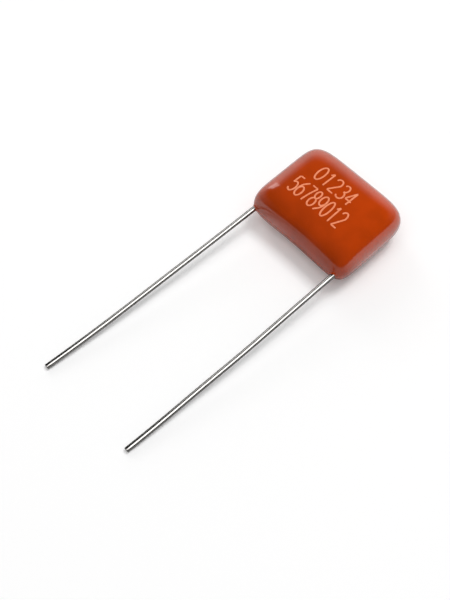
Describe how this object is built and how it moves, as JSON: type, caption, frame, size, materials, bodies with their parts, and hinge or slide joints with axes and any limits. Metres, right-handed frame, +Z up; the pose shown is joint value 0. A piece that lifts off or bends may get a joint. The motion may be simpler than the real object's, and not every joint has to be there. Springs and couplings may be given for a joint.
{
  "type": "dipped film capacitor",
  "caption": "Flat, rounded rectangular dipped film capacitor with radial wire leads that leave one long edge, lying on its broad face.",
  "frame": {"origin": "on the resting face of the body, midway between the two leads and midway across the roll of film", "axes": "+X runs from the left lead to the right one, +Y points away from the leads across the body, and +Z is up out of the marked face"},
  "size_m": [0.0129, 0.0332, 0.0048],
  "materials": {
    "resin": "glossy orange-brown dipped resin",
    "film": "silvery metallised film, wound",
    "sprayed_metal": "rough matt sprayed metal",
    "tinned_wire": "bright tinned wire"
  },
  "bodies": {
    "root": {"resin_coating": "resin", "film_roll": "film", "left_contact": "sprayed_metal", "right_contact": "sprayed_metal", "left_lead": "tinned_wire", "right_lead": "tinned_wire"}
  },
  "joints": []
}
